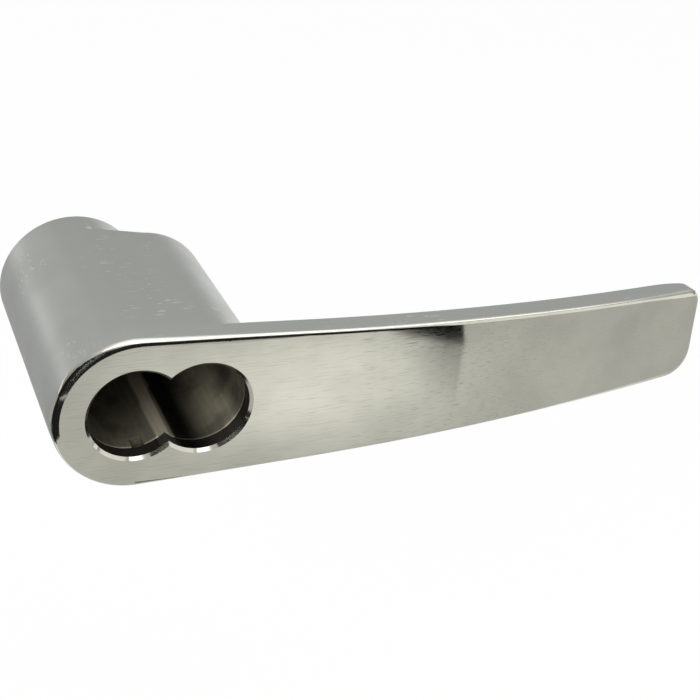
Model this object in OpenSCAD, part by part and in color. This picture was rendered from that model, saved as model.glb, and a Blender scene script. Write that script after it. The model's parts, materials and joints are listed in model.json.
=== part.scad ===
// Lever handle for an interchangeable-core lockset: a bowed blade on a deep hub with a figure-8 core
// socket, turning on a fixed bearing that bolts to the lock, with a keyed throw member on the same axis.
// The turning axis is Y, the blade runs along +X, the front faces -Y and the lock lies at +Y.
// The origin is the centre of the bearing's rear mounting face.

/* [Lever blade] */
// Length of the flat blade from the turning axis to the tip
blade_reach = 103.7; // [90:0.1:120]
// Thickness of the blade
blade_t = 4.4; // [3.8:0.2:5.2]
// Height of the blade at its tip
tip_h = 17; // [13:0.5:20]
// Distance of the tip's middle below the turning axis
tip_drop = 1.5; // [0:0.5:3]
// Radius of the tip's upper corner
tip_r_top = 2.5; // [1.5:0.5:4]
// Radius of the tip's lower corner
tip_r_low = 5; // [3:0.5:7]
// Distance from the turning axis to where the bow begins
bow_start = 27.5; // [25:0.5:40]
// Radius of the bow, which carries the tip towards the door
bow_r = 385; // [280:5:800]
// Radius of the rounded front edge
edge_r = 1.2; // [0.6:0.1:1.6]
// Length of the rounding behind the tip
tip_back_len = 8; // [5:1:12]

/* [Hub] */
// Radius of the hub where it meets the blade
hub_r = 13.3; // [13:0.1:14.5]
// Radius of the round neck at its rear end
neck_r = 12.2; // [11.8:0.1:12.8]
// Depth of the bearing's socket in the neck
socket_depth = 8.6; // [8:0.1:12]
// Distance of the hub's second lobe from the turning axis
hub_lobe_x = 10.2; // [10:0.1:11]
// Radius of the hub's second lobe where it meets the blade
hub_lobe_r = 12.6; // [12.4:0.1:12.9]
// Distance of the lobe's shoulder in front of the neck's rear end
shoulder_set = 6; // [5.5:0.25:9.5]
// Length of the round neck behind the slanting shoulder
neck_len = 5; // [3:0.25:6]
// Rounding of the shoulder's rear edge
shoulder_r = 2; // [1:0.25:3]
// Thickness of the web behind the core space
web_t = 2.5; // [2:0.25:3.5]

/* [Core socket] */
// Radius of each lobe of the core opening
core_r = 7.7; // [7.5:0.05:7.9]
// Distance between the two lobes' centres
core_pitch = 10.7; // [10.3:0.1:11.1]
// Depth of the core space from the front face
core_depth = 32.4; // [31:0.2:33]
// Bevel at the front edge of the opening
core_bevel = 0.65; // [0.4:0.05:0.8]
// Wall of the figure-8 liner
liner_wall = 1.5; // [1.2:0.1:1.7]
// Depth of the liner's seat in the blade's rear
liner_seat = 1.4; // [1:0.1:1.8]
// Width of the flat land on the ridge between the lobes
land_w = 2; // [1:0.2:3]
// Thickness of the plate that stops the core
stop_plate_t = 2.5; // [2.5:0.1:3]

/* [Bearing and drive] */
// Radius of the fixed bearing sleeve
bearing_r = 9.05; // [8.9:0.05:9.2]
// Distance that the bearing sleeve stands out behind the neck
bearing_stand = 3.2; // [3:0.1:4]
// Wall of the bush in the neck
bush_wall = 0.9; // [0.7:0.1:1.1]
// Radius of the tailpiece shaft
tail_r = 2.65; // [2.4:0.05:2.8]
// Wall of the drive tube
tube_wall = 1.47; // [1.3:0.05:1.6]
// Length of the drive tube behind the mounting face
tube_out = 6.6; // [6:0.2:8]
// Length of the tailpiece's flat end
tail_flat_len = 4; // [3:0.25:5]
// Turn of the lever to each stop, in degrees
turn = 45; // [30:1:50]

/* [Return spring] */
// Wire diameter of the return spring
wire_d = 0.9; // [0.7:0.05:1]
// Mean radius of the return spring
coil_r = 6.5; // [6.4:0.05:6.6]
// Turns of the return spring
coil_turns = 4; // [3:1:4]

/* [Fastenings] */
// Diameter of the circle of mounting holes
bolt_circle_d = 15; // [14.8:0.1:15.2]
// Radius of each tapped mounting hole
bolt_hole_r = 1.05; // [0.8:0.05:1.1]
// Number of mounting holes
bolt_count = 3; // [3:1:4]
// Depth of each mounting hole
bolt_depth = 4; // [3:0.25:4.25]
// Radius of the dowels between blade and hub
dowel_r = 1.25; // [1:0.05:1.4]
// Radius of the liner's set screw
grub_r = 1.5; // [1.25:0.05:1.75]

/* [Hidden] */
$fn = 64;

// Clearances
run_gap = 0.08;
slip_gap = 0.05;
side_gap = 0.3;
end_gap = 0.1;
over = 1;

// Depths along the turning axis
hub_depth = core_depth + stop_plate_t + web_t + socket_depth;
neck_y = -bearing_stand;
face_y = neck_y - hub_depth;
joint_y = face_y + blade_t;
liner_y = joint_y - liner_seat;
floor_y = face_y + core_depth;
pocket_y = floor_y + stop_plate_t;
web_y = pocket_y + web_t;
shoulder_y = neck_y - shoulder_set;
neck_root_y = neck_y - neck_len;

// Outline of the blade: the hub's round end and the two corners of the tip
tip_top_c = [blade_reach - tip_r_top, tip_h / 2 - tip_drop - tip_r_top];
tip_low_c = [blade_reach - tip_r_low, -tip_h / 2 - tip_drop + tip_r_low];
tip_t = edge_r + 0.4;
hub_steps = 12;
edge_steps = 16;
corner_steps = 6;
fillet_steps = 3;

// Hub walls
draft = (hub_r - neck_r) / (neck_y - joint_y);
shoulder_steps = 3;
flush = 0.05;
hull_fn = 64;

// Core liner and pocket
liner_r = core_r + liner_wall;
pocket_r = liner_r + slip_gap;
liner_bevel = 0.4;
key_notch = [2, 2.6];
key_notch_x = 1.2;
lug_slot = [5, 4.5];
lug_slot_y = joint_y + (floor_y - joint_y) * 0.4;

// Drive tube, throw plate and tailpiece
tube_bore = tail_r + run_gap;
tube_r = tube_bore + tube_wall;
pilot_r = tube_r - 0.2;
pilot_y = 0.2;
pilot_len = 3;
spigot_r = pilot_r - 0.2;
flange_r = tube_r + 1.8;
flange_t = 1;
throw_gap = 0.2;
throw_t = stop_plate_t - flange_t - throw_gap - end_gap;
throw_r = flange_r;
throw_hole_r = throw_r + side_gap;
throw_front_y = floor_y + end_gap;
throw_rear_y = throw_front_y + throw_t;
flange_y = pocket_y - flange_t;
prong = [2.6, 1.2];
prong_reach = 3.2;
prong_offset = 2.4;
rivet_r = 1.6;
drive_slot_w = 2;
drive_slot_len = tube_out - pilot_y - pilot_len - 0.2;
drive_pin_r = 0.7;
drive_pin_at = (tube_r + flange_r) / 2;
drive_pin_len = flange_t + web_t - 0.6;
tail_flat_t = 1.6;
clip_t = 0.6;
clip_groove = 0.6;
washer_t = 0.45;
clip_y = tube_out + end_gap + washer_t + end_gap;
tail_out = clip_y + clip_t + 0.5 + tail_flat_len;

// Bearing sleeve and what it holds
socket_r = bearing_r + run_gap + bush_wall;
collar_r = coil_r - wire_d / 2 - 0.55;
recess_r = coil_r + wire_d / 2 + 0.55;
thrust_t = 0.6;
bearing_front_y = web_y + thrust_t + 2 * end_gap;
coil_pitch = wire_d + 0.15;
coil_len = coil_turns * coil_pitch;
recess_depth = coil_len + wire_d + 0.6;
rear_seat_depth = 2.6;
rear_seat_r = tube_r + 1.7;
rear_washer_t = 0.55;
ring_t = 0.7;
ring_groove = 0.55;
ring_y = -rear_seat_depth + rear_washer_t + 2 * end_gap;
stop_r = (recess_r + bearing_r) / 2;
stop_pin_r = (bearing_r - recess_r) / 2 - 0.02;
stop_depth = 2.4;
stop_spare = 1;
stop_half = turn + asin(stop_pin_r / stop_r) + stop_spare;
leg_hole_r = wire_d / 2 + 0.15;
leg_reach = 1.4;
bush_front_y = web_y + 1;

// Fastenings
dowel_x = hub_lobe_x / 2;
waist_z = sqrt(pow(pocket_r, 2) - pow(core_pitch / 2, 2));
dowel_z = (waist_z + hub_r) / 2;
dowel_in_blade = blade_t / 2;
dowel_in_hub = 4;
grub_y = (joint_y + floor_y) / 2;
grub_recess = 0.6;
grub_tip_z = liner_r + slip_gap / 2;
grub_top_z = hub_r - draft * (grub_y - joint_y) - grub_recess;
grub_hex_r = grub_r * 0.55;
grub_hex_depth = 1.4;
plate_screw_x = core_pitch + 1.5;
plate_screw_z = 4;
plate_screw_r = 0.8;
plate_screw_head_r = 1.8;
plate_screw_head_t = plate_screw_head_r - plate_screw_r;
plate_screw_in = shoulder_y - pocket_y - 0.6;

// Cylinder along the turning axis from y0 to y1, centred on x and z
module along_y(r, y0, y1, x = 0, z = 0) {
    translate([x, y0, z]) rotate([-90, 0, 0]) cylinder(r = r, h = y1 - y0);
}

// Cone along the turning axis
module cone_y(r0, r1, y0, y1, x = 0, z = 0) {
    translate([x, y0, z]) rotate([-90, 0, 0]) cylinder(r1 = r0, r2 = r1, h = y1 - y0);
}

// Ring along the turning axis
module ring_y(r_in, r_out, y0, y1) {
    difference() {
        along_y(r_out, y0, y1);
        along_y(r_in, y0 - over, y1 + over);
    }
}

// Both lobes of the core's figure-8 section
module figure_8(r, y0, y1) {
    for (x = [0, core_pitch]) along_y(r, y0, y1, x);
}

// Direction of the line that touches two circles on one side, as the angle of its normal
function touching(c0, r0, c1, r1, side) =
    let (d = c1 - c0) atan2(d[1], d[0]) + side * acos((r0 - r1) / norm(d));

// One half of the blade's outline from the hub's round end to the tip: [x, z, angle of the normal]
function outline_half(side) =
    let (
        c = side > 0 ? tip_top_c : tip_low_c,
        r = side > 0 ? tip_r_top : tip_r_low,
        lean = touching([0, 0], hub_r, c, r, side),
        first = side * (180 - 90 / hub_steps / 2),
        p0 = hub_r * [cos(lean), sin(lean)],
        p1 = c + r * [cos(lean), sin(lean)]
    )
    concat(
        [for (i = [0:hub_steps]) let (a = first + (lean - first) * i / hub_steps)
            [hub_r * cos(a), hub_r * sin(a), a]],
        [for (i = [1:edge_steps]) let (k = sin(90 * i / edge_steps), p = p0 + k * (p1 - p0))
            [p[0], p[1], lean]],
        [for (i = [1:corner_steps]) let (a = lean * (1 - i / corner_steps))
            [c[0] + r * cos(a), c[1] + r * sin(a), a]]
    );

// Closed outline, clockwise as the front is seen
function outline() =
    let (upper = outline_half(1), lower = outline_half(-1), n = len(lower))
    concat(upper, [for (i = [n - 1:-1:0]) lower[i]]);

// Thickness of the blade at a distance along it, rounded away behind the tip
function thickness(s) =
    let (u = (s - blade_reach + tip_back_len) / tip_back_len)
    u <= 0 ? blade_t : tip_t + (blade_t - tip_t) * sqrt(max(0, 1 - u * u));

// A point of the flat blade, at a depth behind its face, after the bow
function bowed(s, depth, z) =
    let (a = max(0, s - bow_start) / bow_r * 180 / PI)
    [min(s, bow_start) + (bow_r - depth) * sin(a), face_y + bow_r - (bow_r - depth) * cos(a), z];

// Outline moved inwards and to a depth
function blade_ring(inset, depth, share) =
    [for (p = outline())
        let (s = p[0] - inset * cos(p[2]), z = p[1] - inset * sin(p[2]))
        bowed(s, depth + share * thickness(s), z)];

// Solid blade: rings down the rounded front edge, then the sharp rear edge, closed by strips across
module blade_solid() {
    rings = concat(
        [for (i = [0:fillet_steps]) let (a = 90 * i / fillet_steps)
            blade_ring(edge_r * (1 - sin(a)), edge_r * (1 - cos(a)), 0)],
        [blade_ring(0, 0, 1)]
    );
    n = len(rings[0]);
    half = n / 2;
    last = (len(rings) - 1) * n;
    sides = [for (k = [0:len(rings) - 2], j = [0:n - 1])
        let (a = k * n + j, b = k * n + (j + 1) % n) each [[a, a + n, b + n], [a, b + n, b]]];
    strips = [for (i = [0:half - 2])
        let (u = i, v = n - 1 - i) each [[u, u + 1, v - 1], [u, v - 1, v]]];
    backs = [for (f = strips) [last + f[2], last + f[1], last + f[0]]];
    polyhedron(points = [for (r = rings) each r], faces = concat(strips, sides, backs));
}

// Radius of the drafted hub at a depth along the axis
function hub_at(y) = hub_r - draft * (y - joint_y);

module lever_blade() {
    color("lightgray") difference() {
        blade_solid();
        figure_8(core_r, face_y - over, joint_y + over);
        figure_8(pocket_r, liner_y, joint_y + over);
        for (x = [0, core_pitch])
            cone_y(core_r + core_bevel + over, core_r, face_y - over, face_y + core_bevel, x);
        for (z = [-dowel_z, dowel_z])
            along_y(dowel_r, joint_y - dowel_in_blade, joint_y + over, dowel_x, z);
    }
}

// Outside of the hub: two drafted lobes with a slanting, rounded shoulder, and the round neck behind
module hub_outside() {
    disc = 0.01;
    hull() {
        along_y(hub_r, joint_y, joint_y + disc, $fn = hull_fn);
        along_y(hub_lobe_r, joint_y, joint_y + disc, hub_lobe_x, $fn = hull_fn);
        along_y(hub_at(neck_root_y), neck_root_y - disc, neck_root_y, $fn = hull_fn);
        for (i = [0:shoulder_steps])
            let (a = 90 * i / shoulder_steps, y = shoulder_y - shoulder_r * (1 - sin(a)),
                r = hub_lobe_r - draft * (y - joint_y) - shoulder_r * (1 - cos(a)))
            along_y(r, y - disc, y, hub_lobe_x, $fn = hull_fn);
    }
    cone_y(hub_at(neck_root_y) - flush, neck_r - flush, neck_root_y - over, neck_y);
}

module hub_body() {
    color("silver") difference() {
        hub_outside();
        figure_8(pocket_r, joint_y - over, pocket_y);
        along_y(tube_r, pocket_y - over, web_y + over);
        along_y(socket_r, web_y, neck_y + over);
        for (x = [-drive_pin_at, drive_pin_at])
            along_y(drive_pin_r, pocket_y - over, flange_y + drive_pin_len, x);
        along_y(stop_pin_r, pocket_y + 0.5, web_y + over, 0, stop_r);
        along_y(leg_hole_r, web_y - leg_reach - end_gap, web_y + over, 0, -coil_r);
        for (z = [-dowel_z, dowel_z])
            along_y(dowel_r, joint_y - over, joint_y + dowel_in_hub, dowel_x, z);
        for (z = [-plate_screw_z, plate_screw_z])
            along_y(plate_screw_r, pocket_y - over, pocket_y + plate_screw_in, plate_screw_x, z);
        translate([0, grub_y, -hub_r - over]) cylinder(r = grub_r, h = hub_r + over - core_r);
    }
}

module locating_dowels() {
    color("dimgray") for (z = [-dowel_z, dowel_z])
        along_y(dowel_r, joint_y - dowel_in_blade, joint_y + dowel_in_hub, dowel_x, z);
}

// Figure-8 steel liner with flat ridges, a key notch at its front and a slot for the core's lug
module core_liner() {
    land_z = sqrt(pow(core_r, 2) - pow((core_pitch - land_w) / 2, 2));
    color("darkgray") difference() {
        figure_8(liner_r, liner_y, floor_y);
        figure_8(core_r, liner_y - over, floor_y + over);
        translate([(core_pitch - land_w) / 2, liner_y - over, -land_z])
            cube([land_w, floor_y - liner_y + 2 * over, 2 * land_z]);
        for (x = [0, core_pitch])
            cone_y(core_r + liner_bevel + over, core_r, liner_y - over, liner_y + liner_bevel, x);
        translate([key_notch_x - key_notch[0] / 2, liner_y - over, -liner_r - over])
            cube([key_notch[0], key_notch[1] + over, liner_wall * 2 + over]);
        translate([0, lug_slot_y, core_r * 0.7])
            cube([lug_slot[0], lug_slot[1], liner_r]);
    }
}

module liner_set_screw() {
    color("dimgray") difference() {
        translate([0, grub_y, -grub_top_z]) cylinder(r = grub_r, h = grub_top_z - grub_tip_z);
        translate([0, grub_y, -grub_top_z - over])
            cylinder(r = grub_hex_r, h = grub_hex_depth + over, $fn = 6);
    }
}

module core_stop_plate() {
    color("darkgray") difference() {
        figure_8(liner_r, floor_y, pocket_y);
        along_y(throw_hole_r, floor_y - over, pocket_y + over);
        for (z = [-plate_screw_z, plate_screw_z]) {
            along_y(plate_screw_r, floor_y - over, pocket_y + over, plate_screw_x, z);
            cone_y(plate_screw_head_r + over, plate_screw_r, floor_y - over,
                floor_y + plate_screw_head_t, plate_screw_x, z);
        }
    }
}

module stop_plate_screws() {
    color("dimgray") for (z = [-plate_screw_z, plate_screw_z]) difference() {
        union() {
            along_y(plate_screw_r, floor_y, pocket_y + plate_screw_in, plate_screw_x, z);
            cone_y(plate_screw_head_r, plate_screw_r, floor_y, floor_y + plate_screw_head_t, plate_screw_x, z);
        }
        translate([plate_screw_x - plate_screw_head_r, floor_y - over, z - 0.2])
            cube([2 * plate_screw_head_r, over + 0.5, 0.4]);
    }
}

module drive_tube() {
    color("gray") difference() {
        union() {
            along_y(tube_r, flange_y, pilot_y);
            along_y(pilot_r, flange_y, pilot_y + pilot_len);
            along_y(spigot_r, flange_y, tube_out);
            along_y(flange_r, flange_y, pocket_y);
        }
        along_y(tube_bore, flange_y - over, tube_out + over);
        ring_y(tube_r - ring_groove, tube_r + over, ring_y, ring_y + ring_t + end_gap);
        translate([-tube_r - over, tube_out - drive_slot_len, -drive_slot_w / 2])
            cube([2 * (tube_r + over), drive_slot_len + over, drive_slot_w]);
        for (x = [-drive_pin_at, drive_pin_at]) along_y(drive_pin_r, flange_y - over, pocket_y + over, x);
    }
}

module drive_pins() {
    color("dimgray") for (x = [-drive_pin_at, drive_pin_at])
        along_y(drive_pin_r, flange_y, flange_y + drive_pin_len, x);
}

module turn_stop_pin() {
    color("dimgray") along_y(stop_pin_r, pocket_y + 0.5, bearing_front_y + stop_depth - side_gap, 0, stop_r);
}

module neck_bush() {
    color("ivory") ring_y(bearing_r + run_gap, socket_r, bush_front_y, neck_y - end_gap);
}

module thrust_washer() {
    color("ivory") ring_y(tube_r + slip_gap, collar_r, web_y, web_y + thrust_t);
}

module rear_washer() {
    color("goldenrod") ring_y(tube_r + slip_gap, rear_seat_r - side_gap,
        -rear_seat_depth + end_gap, -rear_seat_depth + end_gap + rear_washer_t);
}

// Spring ring in the drive tube's groove, open at the top
module retaining_ring() {
    gap = 3;
    y0 = ring_y + end_gap / 2;
    color("dimgray") difference() {
        ring_y(tube_r - ring_groove + slip_gap, rear_seat_r - side_gap, y0, y0 + ring_t);
        translate([-gap / 2, y0 - over, 0]) cube([gap, ring_t + 2 * over, rear_seat_r]);
    }
}

// Wedge of the stop's gap: the outer wall's front edge is cut away over the lever's turn
module stop_gap() {
    far = bearing_r * 2;
    steps = 6;
    arc = [for (i = [0:steps]) let (a = 90 - stop_half + 2 * stop_half * i / steps) far * [cos(a), sin(a)]];
    intersection() {
        ring_y(recess_r - 0.2, bearing_r + over, bearing_front_y - over, bearing_front_y + stop_depth);
        translate([0, bearing_front_y + stop_depth + over, 0]) rotate([90, 0, 0])
            linear_extrude(stop_depth + 3 * over) polygon(concat([[0, 0]], arc));
    }
}

module bearing_sleeve() {
    color("slategray") difference() {
        along_y(bearing_r, bearing_front_y, 0);
        along_y(tube_r + run_gap, bearing_front_y - over, over);
        ring_y(collar_r, recess_r, bearing_front_y - over, bearing_front_y + recess_depth);
        along_y(rear_seat_r, -rear_seat_depth, over);
        for (i = [0:bolt_count - 1]) let (a = 90 + 360 * i / bolt_count, r = bolt_circle_d / 2)
            along_y(bolt_hole_r, -bolt_depth, over, r * cos(a), r * sin(a));
        along_y(leg_hole_r, bearing_front_y + recess_depth - over,
            bearing_front_y + recess_depth + leg_reach * 0.6, 0, -coil_r);
        stop_gap();
    }
}

// Path of the return spring: a straight leg into the web, the coil, and a short leg into the bearing
function spring_path() =
    let (steps = 20, y0 = bearing_front_y + 0.3 + wire_d / 2, n = steps * coil_turns)
    concat(
        [[0, web_y - leg_reach, -coil_r], [0, bearing_front_y - 0.3, -coil_r]],
        [for (i = [1:n - 1]) let (a = 270 + 360 * i / steps)
            [coil_r * cos(a), y0 + coil_len * i / n, coil_r * sin(a)]],
        [[0, bearing_front_y + recess_depth - 0.1, -coil_r],
         [0, bearing_front_y + recess_depth + leg_reach * 0.5, -coil_r]]
    );

function unit(v) = v / norm(v);

// Round wire swept along a path of points
module wire(path, r, sides) {
    n = len(path);
    rings = [for (i = [0:n - 1])
        let (
            t = unit(path[min(i + 1, n - 1)] - path[max(i - 1, 0)]),
            radial = [path[i][0], 0, path[i][2]],
            u = unit(cross(t, cross(unit(radial), t))),
            v = cross(t, u)
        )
        [for (k = [0:sides - 1]) let (a = 360 * k / sides) path[i] + r * (cos(a) * u + sin(a) * v)]];
    sides_f = [for (i = [0:n - 2], k = [0:sides - 1])
        let (a = i * sides + k, b = i * sides + (k + 1) % sides)
        each [[a, b, b + sides], [a, b + sides, a + sides]]];
    start = [for (k = [sides - 1:-1:0]) k];
    end = [for (k = [0:sides - 1]) (n - 1) * sides + k];
    polyhedron(points = [for (r = rings) each r], faces = concat(sides_f, [start, end]));
}

module return_spring() {
    color("dimgray") wire(spring_path(), wire_d / 2, 8);
}

// Disc with two prongs that enter the core's plug
module throw_plate() {
    color("gray") difference() {
        union() {
            along_y(throw_r, throw_front_y, throw_rear_y);
            for (z = [-prong_offset, prong_offset])
                translate([-prong[0] / 2, throw_front_y - prong_reach, z - prong[1] / 2])
                    cube([prong[0], prong_reach + throw_t / 2, prong[1]]);
        }
        along_y(rivet_r, throw_front_y - over, throw_rear_y + over);
    }
}

// Shaft riveted into the throw plate, with a flat tail for the lock's cam
module tailpiece() {
    color("gray") difference() {
        union() {
            along_y(rivet_r, throw_front_y, throw_rear_y);
            along_y(tail_r, throw_rear_y, tail_out);
        }
        for (side = [-1, 1])
            translate([-tail_r - over, tail_out - tail_flat_len, side > 0 ? tail_flat_t / 2 : -tail_r - over])
                cube([2 * (tail_r + over), tail_flat_len + over, tail_r + over - tail_flat_t / 2]);
        ring_y(tail_r - clip_groove, tail_r + over, clip_y, clip_y + clip_t + end_gap);
    }
}

module tail_washer() {
    color("goldenrod") ring_y(tail_r + slip_gap, spigot_r - side_gap,
        tube_out + end_gap, tube_out + end_gap + washer_t);
}

// Spring clip on the tailpiece, open to one side
module tail_clip() {
    y0 = clip_y + end_gap / 2;
    color("dimgray") difference() {
        ring_y(tail_r - clip_groove + slip_gap, spigot_r - side_gap, y0, y0 + clip_t);
        translate([0, y0 - over, -tail_r * 0.6]) cube([tube_r, clip_t + 2 * over, tail_r * 1.2]);
    }
}

lever_blade();
hub_body();
locating_dowels();
core_liner();
liner_set_screw();
core_stop_plate();
stop_plate_screws();
drive_tube();
drive_pins();
turn_stop_pin();
neck_bush();
thrust_washer();
rear_washer();
retaining_ring();
bearing_sleeve();
return_spring();
throw_plate();
tailpiece();
tail_washer();
tail_clip();
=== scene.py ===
"""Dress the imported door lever: a brushed blade, a satin hub and the plated works inside it.

Every length is in metres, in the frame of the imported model: Y is the turning axis, +X runs along the blade.
"""

from __future__ import annotations

import json
import logging
import math
from dataclasses import dataclass, field
from enum import Enum
from typing import Iterable, Sequence

import bmesh
import bpy
from mathutils import Matrix, Vector

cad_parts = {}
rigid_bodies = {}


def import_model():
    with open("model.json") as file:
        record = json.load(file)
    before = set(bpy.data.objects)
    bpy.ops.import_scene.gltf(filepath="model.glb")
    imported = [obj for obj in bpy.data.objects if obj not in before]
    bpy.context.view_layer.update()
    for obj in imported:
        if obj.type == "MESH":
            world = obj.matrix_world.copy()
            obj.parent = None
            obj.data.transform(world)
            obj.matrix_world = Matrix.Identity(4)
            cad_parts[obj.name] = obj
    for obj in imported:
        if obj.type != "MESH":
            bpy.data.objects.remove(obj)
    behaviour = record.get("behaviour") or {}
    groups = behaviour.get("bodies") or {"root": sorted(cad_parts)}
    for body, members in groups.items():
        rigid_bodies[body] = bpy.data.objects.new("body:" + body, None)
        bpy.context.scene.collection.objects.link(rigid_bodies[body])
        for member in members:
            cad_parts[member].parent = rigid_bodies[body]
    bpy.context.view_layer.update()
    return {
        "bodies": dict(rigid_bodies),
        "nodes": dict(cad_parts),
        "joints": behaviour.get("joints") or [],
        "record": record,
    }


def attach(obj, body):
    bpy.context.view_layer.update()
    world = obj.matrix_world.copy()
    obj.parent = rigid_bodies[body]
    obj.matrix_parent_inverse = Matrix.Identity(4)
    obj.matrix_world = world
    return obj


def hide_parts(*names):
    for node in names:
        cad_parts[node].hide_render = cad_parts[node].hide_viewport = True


LOG = logging.getLogger("door_lever")
MM = 0.001
AXIS_Y = Vector((0.0, 1.0, 0.0))
MERGE = 1e-7
CAD_MERGE = 1e-6
NORMAL_WEIGHT = 80
NOISE_SPAN = (0.3, 0.7)
NOISE_CORE = (0.35, 0.65)

Point = tuple[float, float]
Point3 = tuple[float, float, float]
Colour = tuple[float, float, float]
Mesh = bmesh.types.BMesh
Vert = bmesh.types.BMVert
Edge = bmesh.types.BMEdge
Face = bmesh.types.BMFace
Socket = bpy.types.NodeSocket
Piece = bpy.types.Object


class Grain(Enum):
    """How a finish's streaks are stretched: noise repeats per metre along X, Y and Z."""

    ALONG_BLADE = (250.0, 8000.0, 8000.0)
    ALONG_AXIS = (1500.0, 90.0, 1500.0)
    SHORT_SCUFFS = (420.0, 2400.0, 1800.0)
    EVEN = (900.0, 900.0, 900.0)


class NodeTree:
    """A thin helper that adds and links shader nodes."""

    def __init__(self, tree: bpy.types.NodeTree) -> None:
        """Start from an emptied tree.

        Args:
            tree: The node tree of a material or a world.
        """
        self.tree = tree
        tree.nodes.clear()

    def add(self, kind: str, **inputs: object) -> bpy.types.Node:
        """Add a node and set its inputs.

        Args:
            kind: The node's type name.
            **inputs: Values by socket name, with underscores for spaces; an output socket is linked.

        Returns:
            The new node.
        """
        node = self.tree.nodes.new(kind)
        for name, value in inputs.items():
            self.feed(node.inputs[name.replace("_", " ")], value)
        return node

    def feed(self, socket: Socket, value: object) -> None:
        """Link an output socket to an input, or set the input's value.

        Args:
            socket: The input.
            value: The output socket, or the value.
        """
        if isinstance(value, Socket):
            self.tree.links.new(value, socket)
        else:
            socket.default_value = value

    def blend(self, share: object, low: object, high: object) -> Socket:
        """Mix two colours.

        Args:
            share: The mix factor, a number or a socket.
            low: The colour at 0, or a socket.
            high: The colour at 1, or a socket.

        Returns:
            The mixed colour's socket.
        """
        node = self.tree.nodes.new("ShaderNodeMix")
        node.data_type = "RGBA"
        self.feed(node.inputs["Factor"], share)
        for socket, value in ((node.inputs[6], low), (node.inputs[7], high)):
            self.feed(socket, (*value, 1.0) if isinstance(value, tuple) else value)
        return node.outputs[2]

    def ramp(self, value: object, low: float, high: float, to_low: float, to_high: float) -> Socket:
        """Map a range of a value smoothly onto another range, clamped.

        Args:
            value: The socket to map.
            low: The value that gives to_low.
            high: The value that gives to_high.
            to_low: The result at low.
            to_high: The result at high.

        Returns:
            The mapped value's socket.
        """
        if low > high:
            low, high, to_low, to_high = high, low, to_high, to_low
        node = self.tree.nodes.new("ShaderNodeMapRange")
        node.interpolation_type = "SMOOTHSTEP"
        for name, given in (
            ("Value", value),
            ("From Min", low),
            ("From Max", high),
            ("To Min", to_low),
            ("To Max", to_high),
        ):
            self.feed(node.inputs[name], given)
        return node.outputs["Result"]

    def maths(self, kind: str, first: object, second: object) -> Socket:
        """Add a maths node of two values.

        Args:
            kind: The operation.
            first: The first value, a number or a socket.
            second: The second value, a number or a socket.

        Returns:
            The result's socket.
        """
        node = self.tree.nodes.new("ShaderNodeMath")
        node.operation = kind
        self.feed(node.inputs[0], first)
        self.feed(node.inputs[1], second)
        return node.outputs[0]

    def noise(self, vector: object, scale: float, detail: float) -> Socket:
        """Add a noise pattern and return its value's socket."""
        return self.add("ShaderNodeTexNoise", Vector=vector, Scale=scale, Detail=detail).outputs["Fac"]

    def streaks(self, place: object, grain: Grain, detail: float) -> Socket:
        """Add a stretched noise pattern and return its value's socket."""
        stretched = self.add("ShaderNodeMapping", Vector=place, Scale=grain.value).outputs["Vector"]
        return self.noise(stretched, 1.0, detail)

    def roughen(self, shader: bpy.types.Node, height: object, depth: float, strength: object) -> None:
        """Give a shader a bumped normal.

        Args:
            shader: The shader node.
            height: The pattern's socket.
            depth: The bump's depth in metres.
            strength: The bump's share, a number or a socket.
        """
        bump = self.add("ShaderNodeBump", Strength=strength, Distance=depth, Height=height)
        self.feed(shader.inputs["Normal"], bump.outputs["Normal"])

    def layer(self, share: object, under: bpy.types.Node, over: bpy.types.Node) -> bpy.types.Node:
        """Mix two shaders.

        Args:
            share: The upper shader's share, a number or a socket.
            under: The lower shader's node.
            over: The upper shader's node.

        Returns:
            The mixed shader's node.
        """
        mix = self.add("ShaderNodeMixShader", Fac=share)
        self.feed(mix.inputs[1], under.outputs[0])
        self.feed(mix.inputs[2], over.outputs[0])
        return mix


def new_material(name: str) -> tuple[bpy.types.Material, NodeTree]:
    """Make a material with an empty node tree.

    Args:
        name: The material's name.

    Returns:
        The material and its nodes.
    """
    made = bpy.data.materials.new(name)
    made.use_nodes = True
    return made, NodeTree(made.node_tree)


@dataclass(frozen=True)
class Finish:
    """A surface with a base colour and a roughness that its own pattern varies."""

    name: str
    colour: Colour
    roughness: float

    def material(self) -> bpy.types.Material:
        """Make the finish's node material once.

        Returns:
            The material, on object coordinates.
        """
        made = bpy.data.materials.get(self.name)
        if made is not None:
            return made
        made, nodes = new_material(self.name)
        place = nodes.add("ShaderNodeTexCoord").outputs["Object"]
        nodes.add("ShaderNodeOutputMaterial", Surface=self.shade(nodes, place).outputs["BSDF"])
        return made

    def shade(self, nodes: NodeTree, place: Socket) -> bpy.types.Node:
        """Add the finish's shader.

        Args:
            nodes: The material's nodes.
            place: The object coordinates' socket.

        Returns:
            The shader node.
        """
        raise NotImplementedError

    def toned(self, share: float) -> Colour:
        """Return the base colour times a share."""
        return tuple(c * share for c in self.colour)

    def varied(self, spread: float) -> Point:
        """Return the lowest and highest roughness at a spread round the middle."""
        return self.roughness - spread, self.roughness + spread


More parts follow.
